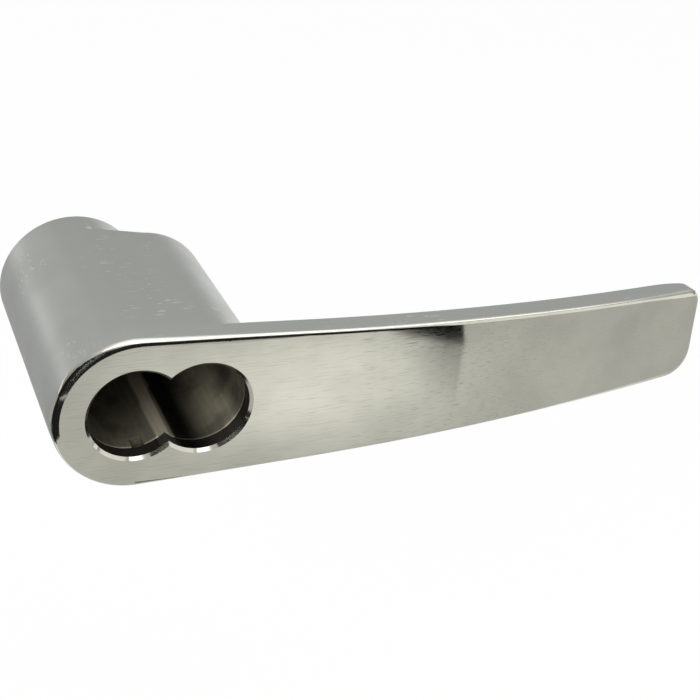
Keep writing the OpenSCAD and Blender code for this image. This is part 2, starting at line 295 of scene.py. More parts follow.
@dataclass(frozen=True)
class BrushedFinish(Finish):
    """Nickel brushed along the blade: short fine lines, strongest at the middle of the grip."""

    groove: float = 0.000002
    across: float = 0.75
    across_turn: float = 0.25
    strong_from: float = 45.0 * MM
    strong_to: float = 56.0 * MM
    fade: float = 26.0 * MM
    root_strength: float = 0.5
    tip_strength: float = 0.3
    cloud_scale: float = 110.0
    cloud_edges: Point = (0.35, 0.68)
    cloud_tone: float = 0.9
    dash_edges: Point = (0.45, 0.28)
    dash_share: float = 0.75
    dash_tone: float = 0.6
    rough_steps: Point = (0.04, -0.02)

    def shade(self, nodes: NodeTree, place: Socket) -> bpy.types.Node:
        """Add the brushed shader.

        Args:
            nodes: The material's nodes.
            place: The object coordinates' socket.

        Returns:
            The shader node.
        """
        along = nodes.add("ShaderNodeSeparateXYZ", Vector=place).outputs["X"]
        rising = nodes.ramp(along, self.strong_from - self.fade, self.strong_from, self.root_strength, 1.0)
        falling = nodes.ramp(along, self.strong_to, self.strong_to + self.fade, 1.0, self.tip_strength)
        strength = nodes.maths("MULTIPLY", rising, falling)
        lines = nodes.streaks(place, Grain.ALONG_BLADE, detail=2.0)
        clouds = nodes.noise(place, self.cloud_scale, detail=2.0)
        cloudy = nodes.ramp(clouds, *self.cloud_edges, 0.0, 1.0)
        colour = nodes.blend(cloudy, self.colour, self.toned(self.cloud_tone))
        dashes = nodes.ramp(lines, *self.dash_edges, 0.0, self.dash_share)
        colour = nodes.blend(nodes.maths("MULTIPLY", dashes, strength), colour, self.toned(self.dash_tone))
        shader = nodes.add(
            "ShaderNodeBsdfPrincipled",
            Base_Color=colour,
            Metallic=1.0,
            Roughness=nodes.ramp(lines, *NOISE_SPAN, *(self.roughness + step for step in self.rough_steps)),
            Anisotropic=self.across,
            Anisotropic_Rotation=self.across_turn,
        )
        nodes.roughen(shader, lines, self.groove, strength)
        return shader


@dataclass(frozen=True)
class SatinFinish(Finish):
    """Even satin nickel with small light scuffs in patches."""

    scuff: Colour = (0.86, 0.86, 0.83)
    scuff_edge: float = 0.665
    scuff_soft: float = 0.03
    patch_scale: float = 95.0
    patch_edges: Point = (0.48, 0.6)
    patch_share: float = 0.85
    cloud_scale: float = 70.0
    cloud_tone: float = 0.9
    grain_scale: float = 5200.0
    grain_depth: float = 0.000002
    grain_strength: float = 0.4
    spread: float = 0.04

    def shade(self, nodes: NodeTree, place: Socket) -> bpy.types.Node:
        """Add the satin shader.

        Args:
            nodes: The material's nodes.
            place: The object coordinates' socket.

        Returns:
            The shader node.
        """
        clouds = nodes.noise(place, self.cloud_scale, detail=2.0)
        fine = nodes.noise(place, self.grain_scale, detail=1.0)
        cloudy = nodes.ramp(clouds, *NOISE_SPAN, 0.0, 1.0)
        colour = nodes.blend(cloudy, self.colour, self.toned(self.cloud_tone))
        scuffs = nodes.streaks(place, Grain.SHORT_SCUFFS, detail=1.0)
        marks = nodes.ramp(scuffs, self.scuff_edge, self.scuff_edge + self.scuff_soft, 0.0, 1.0)
        patches = nodes.noise(place, self.patch_scale, detail=1.0)
        patches = nodes.ramp(patches, *self.patch_edges, 0.0, self.patch_share)
        colour = nodes.blend(nodes.maths("MULTIPLY", marks, patches), colour, self.scuff)
        shader = nodes.add(
            "ShaderNodeBsdfPrincipled",
            Base_Color=colour,
            Metallic=1.0,
            Roughness=nodes.ramp(clouds, *NOISE_SPAN, *self.varied(self.spread)),
        )
        nodes.roughen(shader, fine, self.grain_depth, self.grain_strength)
        return shader


@dataclass(frozen=True)
class SteelFinish(Finish):
    """Bare or plated hardware with tool lines and a little cloudiness."""

    grain: Grain = Grain.EVEN
    spread: float = 0.06
    cloud_scale: float = 160.0
    cloud_edges: Point = (0.35, 0.7)
    cloud_tone: float = 0.84
    line_edges: Point = (0.62, 0.38)
    line_share: float = 0.5
    line_tone: float = 0.78
    line_depth: float = 0.00001
    line_strength: float = 0.3

    def shade(self, nodes: NodeTree, place: Socket) -> bpy.types.Node:
        """Add the hardware's shader.

        Args:
            nodes: The material's nodes.
            place: The object coordinates' socket.

        Returns:
            The shader node.
        """
        lines = nodes.streaks(place, self.grain, detail=3.0)
        clouds = nodes.noise(place, self.cloud_scale, detail=2.0)
        cloudy = nodes.ramp(clouds, *self.cloud_edges, 0.0, 1.0)
        colour = nodes.blend(cloudy, self.colour, self.toned(self.cloud_tone))
        scored = nodes.ramp(lines, *self.line_edges, 0.0, self.line_share)
        colour = nodes.blend(scored, colour, self.toned(self.line_tone))
        shader = nodes.add(
            "ShaderNodeBsdfPrincipled",
            Base_Color=colour,
            Metallic=1.0,
            Roughness=nodes.ramp(lines, *NOISE_SPAN, *self.varied(self.spread)),
        )
        nodes.roughen(shader, lines, self.line_depth, self.line_strength)
        return shader


@dataclass(frozen=True)
class StainAndShadeFinish(Finish):
    """Raw cast wall with an oily brown coat, darker in stain patches, and near-black painted shade at the
    first ridge, along the second lobe's bed and at the far wall.
    """

    stain: Colour = (0.05, 0.042, 0.035)
    # Near-black colour of the painted shade in the hollows.
    painted_shadow: Colour = (0.004, 0.004, 0.003)
    grime: float = 0.55
    # Where the painted shade lies along X: the second lobe's bed, the first ridge and the far wall.
    bed_from: float = 6.5 * MM
    bed_to: float = 9.5 * MM
    bed_fade: float = 7.0 * MM
    painted_shadow_share: float = 0.6
    painted_shadow_soft: float = 0.5 * MM
    ridge: float = 4.4 * MM
    far_wall: float = 17.6 * MM
    patch_scale: float = 190.0
    patch_edges: Point = (0.42, 0.72)
    line_tone: float = 0.86
    line_depth: float = 0.00003
    line_strength: float = 0.4
    metal: float = 0.35
    spread: float = 0.1

    def shade(self, nodes: NodeTree, place: Socket) -> bpy.types.Node:
        """Add the stained shader.

        Args:
            nodes: The material's nodes.
            place: The object coordinates' socket.

        Returns:
            The shader node.
        """
        lines = nodes.streaks(place, Grain.ALONG_AXIS, detail=3.0)
        patches = nodes.noise(place, self.patch_scale, detail=3.0)
        scored = nodes.ramp(lines, *NOISE_CORE, 0.0, 1.0)
        colour = nodes.blend(scored, self.colour, self.toned(self.line_tone))
        colour = nodes.blend(nodes.ramp(patches, *self.patch_edges, 0.0, self.grime), colour, self.stain)
        # Painted shade: near-black bands at the first ridge, along the second lobe's bed and at the far wall,
        # where shadow falls deep in the hollows.
        along = nodes.add("ShaderNodeSeparateXYZ", Vector=place).outputs["X"]
        soft = self.painted_shadow_soft
        start = nodes.ramp(along, self.bed_from, self.bed_from + 2 * soft, 0.0, 1.0)
        end = nodes.ramp(along, self.bed_to, self.bed_to + self.bed_fade, 1.0, 0.0)
        first = nodes.ramp(along, self.ridge - soft, self.ridge, self.painted_shadow_share, 0.0)
        far = nodes.ramp(along, self.far_wall - 2 * soft, self.far_wall + soft, 0.0, self.painted_shadow_share)
        painted_shadow_share = nodes.maths("MAXIMUM", nodes.maths("MAXIMUM", first, far), nodes.maths("MULTIPLY", start, end))
        colour = nodes.blend(painted_shadow_share, colour, self.painted_shadow)
        shader = nodes.add(
            "ShaderNodeBsdfPrincipled",
            Base_Color=colour,
            Metallic=self.metal,
            Roughness=nodes.ramp(patches, *NOISE_CORE, *self.varied(self.spread)),
        )
        nodes.roughen(shader, lines, self.line_depth, self.line_strength)
        return shader


@dataclass(frozen=True)
class PlasticFinish(Finish):
    """A moulded plastic with a faint mottle."""

    mottle_scale: float = 700.0
    mottle_tone: float = 0.92
    mottle_depth: float = 0.00001
    mottle_strength: float = 0.2
    spread: float = 0.06

    def shade(self, nodes: NodeTree, place: Socket) -> bpy.types.Node:
        """Add the plastic's shader.

        Args:
            nodes: The material's nodes.
            place: The object coordinates' socket.

        Returns:
            The shader node.
        """
        mottle = nodes.noise(place, self.mottle_scale, detail=3.0)
        cloudy = nodes.ramp(mottle, *NOISE_SPAN, 0.0, 1.0)
        shader = nodes.add(
            "ShaderNodeBsdfPrincipled",
            Base_Color=nodes.blend(cloudy, self.colour, self.toned(self.mottle_tone)),
            Roughness=nodes.ramp(mottle, *NOISE_SPAN, *self.varied(self.spread)),
        )
        nodes.roughen(shader, mottle, self.mottle_depth, self.mottle_strength)
        return shader


BRUSHED_NICKEL = BrushedFinish("brushed_satin_nickel", (0.70, 0.695, 0.60), 0.08)
SATIN_NICKEL = SatinFinish("even_satin_nickel", (0.63, 0.645, 0.612), 0.38)
LINER_STEEL = StainAndShadeFinish("stained_shaded_liner_steel", (0.47, 0.435, 0.32), 0.42)
# Paler steel for the upward faces of the liner's lower land.
LAND_STEEL = StainAndShadeFinish("pale_land_steel", (0.60, 0.54, 0.42), 0.42, grime=0.1)
# Painted shade: the blade's opening wall is near black, standing in for the shadow in the hole, with the same
# stain patches.
SHADED_MOUTH_STEEL = StainAndShadeFinish("painted_shade_mouth", (0.06, 0.054, 0.045), 0.35)
BLACK_STEEL = SteelFinish("blackened_steel", (0.20, 0.20, 0.21), 0.36)
ZINC_STEEL = SteelFinish("bright_zinc_plate", (0.62, 0.64, 0.67), 0.30, Grain.ALONG_AXIS)
SPRING_WIRE = SteelFinish("drawn_spring_wire", (0.42, 0.42, 0.43), 0.30)
WASHER_BRASS = SteelFinish("stamped_brass", (0.78, 0.58, 0.25), 0.30)
ACETAL = PlasticFinish("moulded_acetal", (0.80, 0.78, 0.71), 0.42)


class Wire:
    """A chain of vertices drawn in the plane of the blade, with Y as its normal."""

    def __init__(self, mesh: Mesh, start: Point | Vert, y: float = 0.0) -> None:
        """Begin at a point or at a vertex that is already there.

        Args:
            mesh: The mesh the chain is drawn in.
            start: The first point as x and z, or a vertex.
            y: The plane's place along Y.
        """
        self.mesh = mesh
        self.y = y
        is_vertex = isinstance(start, Vert)
        self.verts = [start if is_vertex else mesh.verts.new((start[0], y, start[1]))]

    def arc(self, centre: Point, degrees: float, steps: int) -> Wire:
        """Turn the last vertex about a centre.

        Args:
            centre: The arc's centre as x and z.
            degrees: The turn, positive from X towards Z.
            steps: The number of edges.

        Returns:
            The wire itself.
        """
        before = set(self.mesh.verts)
        bmesh.ops.spin(
            self.mesh,
            geom=[self.verts[-1]],
            cent=(centre[0], self.y, centre[1]),
            axis=AXIS_Y,
            angle=-math.radians(degrees),
            steps=steps,
        )
        self.verts.extend(v for v in self.mesh.verts if v not in before)
        return self

    def line_to(self, point: Point) -> Wire:
        """Draw a straight edge to a new point.

        Args:
            point: The point as x and z.

        Returns:
            The wire itself.
        """
        step = Vector((point[0], self.y, point[1])) - self.verts[-1].co
        made = bmesh.ops.extrude_vert_indiv(self.mesh, verts=[self.verts[-1]])["verts"]
        bmesh.ops.translate(self.mesh, verts=made, vec=step)
        self.verts.extend(made)
        return self

    def join(self, vertex: Vert) -> Wire:
        """Draw a straight edge to a vertex that is already there.

        Args:
            vertex: The vertex.

        Returns:
            The wire itself.
        """
        self.mesh.edges.new((self.verts[-1], vertex))
        self.verts.append(vertex)
        return self

    def edges(self) -> list[Edge]:
        """Return the chain's edges in order."""
        return [self.mesh.edges.get(pair) for pair in zip(self.verts, self.verts[1:])]


def touching(c0: Point, r0: float, c1: Point, r1: float, side: int) -> float:
    """Find the line that touches two circles on one side.

    Args:
        c0: The first circle's centre.
        r0: The first circle's radius.
        c1: The second circle's centre.
        r1: The second circle's radius.
        side: 1 for the upper line and -1 for the lower one.

    Returns:
        The angle of the line's normal, in degrees.
    """
    across = (c1[0] - c0[0], c1[1] - c0[1])
    lean = math.atan2(across[1], across[0]) + side * math.acos((r0 - r1) / math.hypot(*across))
    return math.degrees(lean)


def around(centre: Point, radius: float, degrees: float) -> Point:
    """Return the point of a circle at an angle."""
    turn = math.radians(degrees)
    return centre[0] + radius * math.cos(turn), centre[1] + radius * math.sin(turn)


def round_edges(mesh: Mesh, edges: Iterable[Edge], radius: float, steps: int) -> None:
    """Round a chain of edges.

    Args:
        mesh: The mesh to change.
        edges: The edges to round.
        radius: The rounding's radius.
        steps: The number of faces across it.
    """
    bmesh.ops.bevel(
        mesh,
        geom=list(edges),
        offset=radius,
        offset_type="OFFSET",
        profile_type="SUPERELLIPSE",
        segments=steps,
        profile=0.5,
        affect="EDGES",
        clamp_overlap=False,
        material=-1,
        loop_slide=True,
    )


def new_parts(made: Sequence[object]) -> tuple[list[Vert], list[Edge]]:
    """Sort an extrusion's result.

    Args:
        made: The new geometry.

    Returns:
        The new vertices, and the edges that run between them.
    """
    verts = [g for g in made if isinstance(g, Vert)]
    fresh = set(verts)
    return verts, [g for g in made if isinstance(g, Edge) and fresh.issuperset(g.verts)]


def extruded(mesh: Mesh, edges: Sequence[Edge]) -> tuple[list[Vert], list[Edge]]:
    """Extrude edges in place and return the new vertices, and the edges between them."""
    return new_parts(bmesh.ops.extrude_edge_only(mesh, edges=edges)["geom"])


def thicken(mesh: Mesh, faces: Sequence[Face], depth: float) -> None:
    """Extrude faces along Y into a closed solid.

    Args:
        mesh: The mesh to change.
        faces: The faces to extrude.
        depth: How far they go.
    """
    rear, _ = new_parts(bmesh.ops.extrude_face_region(mesh, geom=faces)["geom"])
    bmesh.ops.translate(mesh, verts=rear, vec=(0.0, depth, 0.0))
    bmesh.ops.recalc_face_normals(mesh, faces=mesh.faces[:])


def ring_edges(mesh: Mesh, ring: Sequence[Vert]) -> list[Edge]:
    """Return the edges of a closed ring of vertices in order."""
    return [mesh.edges.get(pair) for pair in zip(ring, [*ring[1:], ring[0]])]


def twins_of(verts: Iterable[Vert], fresh: set[Vert]) -> list[Vert]:
    """Return the fresh vertex that each extruded vertex is joined to."""
    return [next(e.other_vert(v) for e in v.link_edges if e.other_vert(v) in fresh) for v in verts]


def as_object(mesh: Mesh, name: str, finishes: Sequence[Finish]) -> Piece:
    """Turn a bmesh into an object at the origin.

    Args:
        mesh: The finished mesh, which is freed.
        name: The object's name.
        finishes: The finishes of its material slots.

    Returns:
        The object.
    """
    data = bpy.data.meshes.new(name)
    mesh.to_mesh(data)
    mesh.free()
    for finish in finishes:
        data.materials.append(finish.material())
    made = bpy.data.objects.new(name, data)
    bpy.context.scene.collection.objects.link(made)
    return made


def smoothed(mesh: Mesh, name: str, finishes: Sequence[Finish], sharp: float) -> Piece:
    """Merge a mesh, make it an object and shade it smooth between its sharp edges.

    Args:
        mesh: The finished mesh, which is freed.
        name: The piece's name.
        finishes: The finishes of its material slots.
        sharp: The angle in degrees above which an edge stays sharp.

    Returns:
        The object, at the origin.
    """
    bmesh.ops.remove_doubles(mesh, verts=mesh.verts[:], dist=MERGE)
    bmesh.ops.recalc_face_normals(mesh, faces=mesh.faces[:])
    piece = as_object(mesh, name, finishes)
    even_normals(piece, sharp)
    return piece


def even_normals(piece: Piece, sharp: float) -> None:
    """Shade a piece smooth between its sharp edges.

    Args:
        piece: The object.
        sharp: The angle in degrees above which an edge stays sharp.
    """
    piece.data.shade_smooth()
    piece.data.set_sharp_from_angle(angle=math.radians(sharp))
    weighted = piece.modifiers.new("weighted_normals", "WEIGHTED_NORMAL")
    weighted.keep_sharp = True
    weighted.weight = NORMAL_WEIGHT


def carve(piece: Piece, cutter: Piece, sharp: float) -> None:
    """Cut one object out of another, shade the result afresh and drop the cutter.

    Args:
        piece: The object to cut.
        cutter: The object that is taken away.
        sharp: The angle in degrees above which an edge stays sharp.
    """
    piece.modifiers.clear()
    cut = piece.modifiers.new("cut", "BOOLEAN")
    cut.operation, cut.solver, cut.object = "DIFFERENCE", "EXACT", cutter
    whole = bpy.data.meshes.new_from_object(piece.evaluated_get(bpy.context.evaluated_depsgraph_get()))
    piece.modifiers.clear()
    piece.data = whole
    bpy.data.objects.remove(cutter)
    even_normals(piece, sharp)


@dataclass
class CoreShape:
    """The figure-eight section that the core slides into."""

    radius: float = 7.7 * MM
    pitch: float = 10.7 * MM
    lobe_steps: int = 28

    def half(self, mesh: Mesh, radius: float, side: int, y: float) -> Wire:
        """Draw the upper or lower half of the section, from its left end to its right end.

        Args:
            mesh: The mesh to draw in.
            radius: The lobes' radius.
            side: 1 for the upper half and -1 for the lower one.
            y: The plane's place along Y.

        Returns:
            The wire.
        """
        cusp = math.degrees(math.acos(self.pitch / 2 / radius))
        wire = Wire(mesh, (-radius, 0.0), y)
        wire.arc((0.0, 0.0), -side * (180.0 - cusp), self.lobe_steps)
        wire.arc((self.pitch, 0.0), -side * (180.0 - cusp), self.lobe_steps)
        return wire

    def whole(self, mesh: Mesh, radius: float, y: float) -> tuple[Wire, Wire]:
        """Draw both halves, joined at their ends.

        Args:
            mesh: The mesh to draw in.
            radius: The lobes' radius.
            y: The plane's place along Y.

        Returns:
            The upper and the lower wire.
        """
        upper = self.half(mesh, radius, 1, y)
        lower = self.half(mesh, radius, -1, y)
        ends = {lower.verts[i]: upper.verts[i] for i in (0, -1)}
        bmesh.ops.weld_verts(mesh, targetmap=ends)
        lower.verts[0], lower.verts[-1] = upper.verts[0], upper.verts[-1]
        return upper, lower


@dataclass
class Blade:
    """The bowed, tapering grip with the core's opening through its round end."""

    face_y: float = -49.2 * MM
    reach: float = 103.7 * MM
    thickness: float = 4.4 * MM
    end_radius: float = 13.3 * MM
    tip_height: float = 17.0 * MM
    tip_drop: float = 1.5 * MM
    tip_radius_top: float = 2.5 * MM
    tip_radius_low: float = 5.0 * MM
    bow_start: float = 27.5 * MM
    bow_radius: float = 385.0 * MM
    edge_radius: float = 1.2 * MM
    edge_steps: int = 6
    edge_shares: tuple[Point, ...] = (
        (-9.0 * MM, 1.25),
        (0.0, 1.0),
        (22.0 * MM, 0.6),
        (92.0 * MM, 0.6),
        (100.0 * MM, 1.0),
    )
    rear_edge_radius: float = 0.3 * MM
    rear_edge_steps: int = 3
    rear_edge_radians: float = 1.0
    rear_edge_from: float = 14.5 * MM
    tip_thickness: float = 1.6 * MM
    tip_back_length: float = 8.0 * MM
    core_bevel: float = 0.5 * MM
    polish_share: float = 0.4
    polish_end: float = -9.0 * MM
    seat_depth: float = 1.4 * MM
    seat_radius: float = 9.25 * MM
    break_run: float = 0.4 * MM
    end_steps: int = 28
    corner_steps: int = 8
    bow_cuts: int = 30
    tip_cuts: int = 9
    sharp: float = 35.0
    core: CoreShape = field(default_factory=CoreShape)

    def outline_half(self, mesh: Mesh, left: Vert, side: int) -> Wire:
        """Draw the upper or lower half of the blade's outline, from its round end to its tip.

        Args:
            mesh: The mesh to draw in.
            left: The vertex at the round end's middle.
            side: 1 for the upper half and -1 for the lower one.

        Returns:
            The wire, up to the straight end of the tip.
        """
        radius = self.tip_radius_top if side > 0 else self.tip_radius_low
        middle = side * self.tip_height / 2 - self.tip_drop - side * radius
        corner = (self.reach - radius, middle)
        lean = touching((0.0, 0.0), self.end_radius, corner, radius, side)
        wire = Wire(mesh, left)
        wire.arc((0.0, 0.0), lean - side * 180.0, self.end_steps)
        wire.line_to(around(corner, radius, lean))
        wire.arc(corner, -lean, self.corner_steps)
        return wire

    def depth_at(self, along: float, depth: float) -> float:
        """Round the tip's back away.

        Args:
            along: The place along the flat blade.
            depth: The depth behind the face before the rounding.

        Returns:
            The depth after it.
        """
        share = (along - self.reach + self.tip_back_length) / self.tip_back_length
        if share <= 0.0 or depth <= self.edge_radius:
            return depth
        arc = math.sqrt(max(0.0, 1.0 - share * share))
        thick = self.tip_thickness + (self.thickness - self.tip_thickness) * arc
        scale = (thick - self.edge_radius) / (self.thickness - self.edge_radius)
        return self.edge_radius + (depth - self.edge_radius) * scale

    def bow(self, place: Vector) -> Vector:
        """Return a point of the flat blade after the bow.

        Args:
            place: The point, with its depth behind the face as Y.

        Returns:
            The point in the part's frame.
        """
        depth = self.depth_at(place.x, place.y)
        turn = max(0.0, place.x - self.bow_start) / self.bow_radius
        swing = self.bow_radius - depth
        x = min(place.x, self.bow_start) + swing * math.sin(turn)
        return Vector((x, self.face_y + self.bow_radius - swing * math.cos(turn), place.z))

    def build(self) -> Piece:
        """Model the blade.

        Returns:
            The blade's object.
        """
        mesh = bmesh.new()
        left = mesh.verts.new((-self.end_radius, 0.0, 0.0))
        upper = self.outline_half(mesh, left, 1).line_to((self.reach, 0.0))
        lower = self.outline_half(mesh, left, -1).join(upper.verts[-1])
        hole_upper, hole_lower = self.core.whole(mesh, self.core.radius, 0.0)
        faces = [
            mesh.faces.new([*outer.verts, *reversed(hole.verts)])
            for outer, hole in ((upper, hole_upper), (lower, hole_lower))
        ]
        front = upper.edges() + lower.edges()
        mouth = hole_upper.edges() + hole_lower.edges()
        thicken(mesh, faces, self.thickness)
        round_edges(mesh, front, self.edge_radius, self.edge_steps)
        round_edges(mesh, mouth, self.core_bevel, 1)
        self.round_rear(mesh)
        self.cut_across(mesh)
        for face in mesh.faces:
            face.material_index = self.slot_of(face)
        self.taper_rounding(mesh)
        for vert in mesh.verts:
            vert.co = self.bow(vert.co)
        blade = smoothed(mesh, "blade_skin", (BRUSHED_NICKEL, SATIN_NICKEL, SHADED_MOUTH_STEEL), self.sharp)
        self.sink_seat(blade)
        return blade

    def edge_share(self, x: float) -> float:
        """Look up how wide the upper edge's front rounding is.

        Args:
            x: The place along X.

        Returns:
            The share of the rounding's radius that the edge has there.
        """
        if x <= self.edge_shares[0][0]:
            return self.edge_shares[0][1]
        for (x0, share0), (x1, share1) in zip(self.edge_shares, self.edge_shares[1:]):
            if x <= x1:
                return share0 + (share1 - share0) * (x - x0) / (x1 - x0)
        return self.edge_shares[-1][1]

    def taper_rounding(self, mesh: Mesh) -> None:
        """Thin the flat blade's front rounding along its upper edge, and widen it at the round end.

        Args:
            mesh: The mesh to change.
        """
        radius = self.tip_radius_top
        corner = (self.reach - radius, self.tip_height / 2 - self.tip_drop - radius)
        lean = math.radians(touching((0.0, 0.0), self.end_radius, corner, radius, 1))
        straight = Vector((math.cos(lean), 0.0, math.sin(lean)))
        for vert in mesh.verts:
            share = self.edge_share(vert.co.x)
            if vert.co.z < 0.0:
                share = max(share, 1.0)
            flat = Vector((vert.co.x, 0.0, vert.co.z))
            outward = flat.normalized() if flat.x < self.end_radius * straight.x else straight
            inset = self.end_radius - flat.dot(outward)
            if max(inset, vert.co.y) < self.edge_radius + MERGE:
                vert.co = flat + outward * inset * (1.0 - share) + AXIS_Y * vert.co.y * share

    def sink_seat(self, blade: Piece) -> None:
        """Sink the liner's seat into the blade's rear.

        Args:
            blade: The blade's object.
        """
        mesh = bmesh.new()
        upper, lower = self.core.whole(mesh, self.seat_radius, self.face_y + self.thickness - self.seat_depth)
        faces = bmesh.ops.contextual_create(mesh, geom=upper.edges() + lower.edges())["faces"]
        thicken(mesh, faces, 2 * self.seat_depth)
        carve(blade, as_object(mesh, "seat_cutter", (SHADED_MOUTH_STEEL,)), self.sharp)

    def slot_of(self, face: Face) -> int:
        """Choose a face's material slot on the flat blade.

        Args:
            face: The face.

        Returns:
            0 for the brushed front and bevel, 1 for the satin sides and back, 2 for the opening's wall in its
            painted-shade finish.
        """
        place = face.calc_center_median()
        middle = 0.0 if place.x < self.core.pitch / 2 else self.core.pitch
        from_lobe = math.hypot(place.x - middle, place.z)
        # The opening's bevel stays brushed; the wall behind it is painted near black as shade.
        if from_lobe < self.core.radius + self.core_bevel and place.y > MERGE:
            return 2 if place.y > self.core_bevel else 0
        share = 1.0 if place.x < self.polish_end and place.z > 0.0 else self.polish_share
        return 0 if place.y < share * self.edge_radius else 1

    def cut(self, mesh: Mesh, x: float) -> None:
        """Cut the flat blade across at a place along X."""
        geom = mesh.verts[:] + mesh.edges[:] + mesh.faces[:]
        bmesh.ops.bisect_plane(mesh, geom=geom, dist=MERGE, plane_co=(x, 0, 0), plane_no=(1, 0, 0))

    def round_rear(self, mesh: Mesh) -> None:
        """Break the grip's rear edge, where the hub doesn't carry it.

        Args:
            mesh: The mesh to change.
        """
        for shift in (-self.break_run, 0.0):
            self.cut(mesh, self.rear_edge_from + shift)
        behind, beyond = self.thickness - MERGE, self.rear_edge_from - MERGE
        rear = [
            e
            for e in mesh.edges
            if all(v.co.y > behind and v.co.x > beyond for v in e.verts)
            and e.is_manifold
            and e.calc_face_angle() > self.rear_edge_radians
        ]
        round_edges(mesh, rear, self.rear_edge_radius, self.rear_edge_steps)

    def cut_across(self, mesh: Mesh) -> None:
        """Cut the flat blade across, so that it can bow smoothly.

        Args:
            mesh: The mesh to change.
        """
        self.cut(mesh, self.rear_edge_from + self.break_run)
        span = self.reach - self.tip_back_length - self.bow_start
        for i in range(self.bow_cuts + 1):
            self.cut(mesh, self.bow_start + span * i / self.bow_cuts)
        for i in range(1, self.tip_cuts):
            left = 1.0 - math.sin(math.pi / 2 * i / self.tip_cuts)
            self.cut(mesh, self.reach - self.tip_back_length * left)


